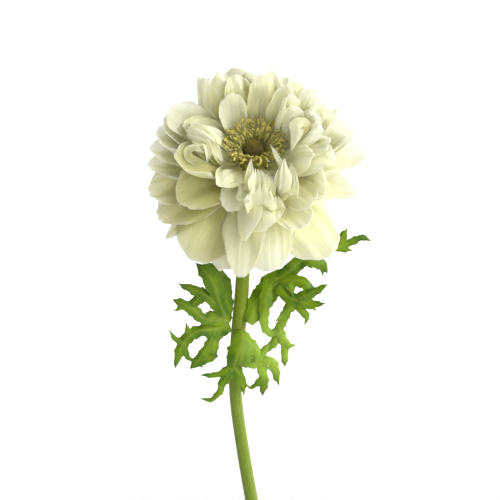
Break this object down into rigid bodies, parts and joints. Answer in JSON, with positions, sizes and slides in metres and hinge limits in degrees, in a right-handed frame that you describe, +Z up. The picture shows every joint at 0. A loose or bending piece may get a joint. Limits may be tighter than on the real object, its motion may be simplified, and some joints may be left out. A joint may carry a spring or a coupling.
{
  "type": "anemone in vase",
  "caption": "Cut cream-white double anemone with an olive centre and a ruff of divided green bracts, standing in a plain glazed bud vase.",
  "frame": {"origin": "centre of the vase's foot, on the surface it stands on", "axes": "+Z up along the vase's axis, -Y towards the side that the flower faces, +X to the right seen from there"},
  "size_m": [0.086, 0.072, 0.3144],
  "materials": {
    "glaze": "satin cream glaze",
    "petal": "soft translucent cream",
    "stem_green": "finely haired pale green",
    "leaf_green": "semi-matt green",
    "anther_olive": "matt, mealy",
    "pistil_olive": "matt, woolly"
  },
  "bodies": {
    "root": {"bract_front": "leaf_green", "bract_left": "leaf_green", "bract_right": "leaf_green", "petal_bottom_bright": "petal", "petal_bottom_left_under": "petal", "petal_bottom_right": "petal", "petal_curl_high": "petal", "petal_curl_low": "petal", "petal_front_curl": "petal", "petal_front_fold": "petal", "petal_front_lobe": "petal", "petal_front_narrow": "petal", "petal_front_patch": "petal", "petal_front_small": "petal", "petal_front_spike": "petal", "petal_inner_point_right": "petal", "petal_left_arch": "petal", "petal_left_bright": "petal", "petal_left_broad": "petal", "petal_left_low": "petal", "petal_left_middle": "petal", "petal_left_point": "petal", "petal_left_second": "petal", "petal_left_spur": "petal", "petal_left_third": "petal", "petal_left_upper": "petal", "petal_lower_left_broad": "petal", "petal_lower_left_cup": "petal", "petal_lower_right_broad": "petal", "petal_right_bright": "petal", "petal_right_cup": "petal", "petal_right_cup_low": "petal", "petal_right_curled": "petal", "petal_right_inner_high": "petal", "petal_right_inner_low": "petal", "petal_right_low": "petal", "petal_right_point": "petal", "petal_right_shoulder": "petal", "petal_rosette_inner": "petal", "petal_rosette_middle": "petal", "petal_rosette_outer": "petal", "petal_top_back": "petal", "petal_top_left_back": "petal", "petal_top_left_inner": "petal", "petal_top_middle": "petal", "petal_top_right_back": "petal", "petal_top_right_inner": "petal", "petal_top_right_oval": "petal", "petal_upper_left_cup": "petal", "petal_upper_left_strap": "petal", "petal_upper_right_back": "petal", "petal_upper_right_inner": "petal", "petal_upper_right_outer": "petal", "pistil_dome": "pistil_olive", "receptacle": "stem_green", "stamens": "anther_olive", "stem": "stem_green", "vase": "glaze"}
  },
  "joints": []
}
